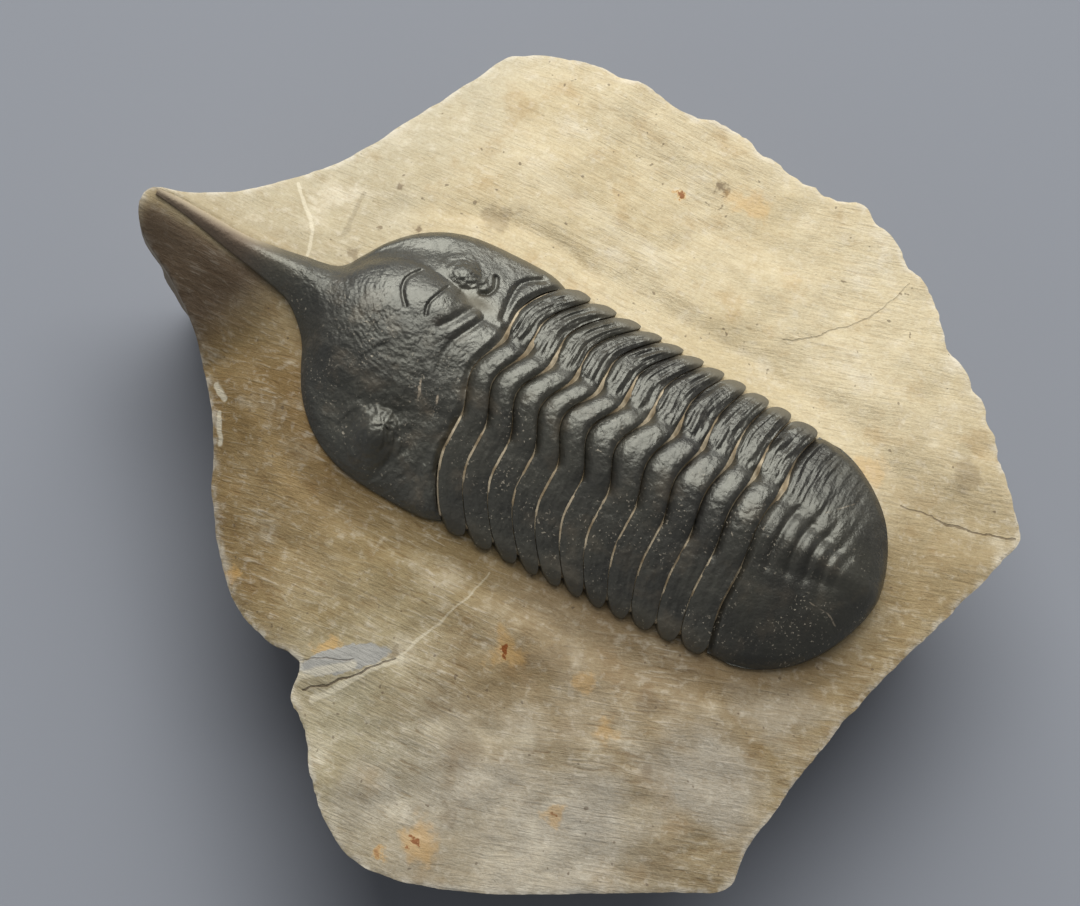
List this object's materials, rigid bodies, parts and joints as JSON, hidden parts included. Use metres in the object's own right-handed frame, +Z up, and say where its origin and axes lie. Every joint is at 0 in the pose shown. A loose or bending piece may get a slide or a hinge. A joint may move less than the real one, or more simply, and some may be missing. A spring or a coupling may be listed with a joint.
{
  "type": "trilobite fossil",
  "caption": "Long-snouted trilobite fossil lying on a rough limestone slab that is drawn out into a pointed prow under the snout",
  "frame": {"origin": "Centre of the bounding box, on the flat sawn base that the slab lies on", "axes": "+X along the animal from snout to tail, +Y to the animal's left-hand flank, +Z up out of the fossil-bearing face"},
  "size_m": [0.0899, 0.0819, 0.0292],
  "materials": {
    "matrix_stone": "matt, finely scratched buff limestone",
    "cephalon_shell": "satin, charcoal black calcite",
    "thorax_shell": "satin, charcoal black calcite",
    "pygidium_shell": "satin, charcoal black calcite"
  },
  "bodies": {
    "root": {"matrix": "matrix_stone", "cephalon": "cephalon_shell", "thoracic_segment_01": "thorax_shell", "thoracic_segment_02": "thorax_shell", "thoracic_segment_03": "thorax_shell", "thoracic_segment_04": "thorax_shell", "thoracic_segment_05": "thorax_shell", "thoracic_segment_06": "thorax_shell", "thoracic_segment_07": "thorax_shell", "thoracic_segment_08": "thorax_shell", "thoracic_segment_09": "thorax_shell", "thoracic_segment_10": "thorax_shell", "thoracic_segment_11": "thorax_shell", "pygidium": "pygidium_shell"}
  },
  "joints": []
}
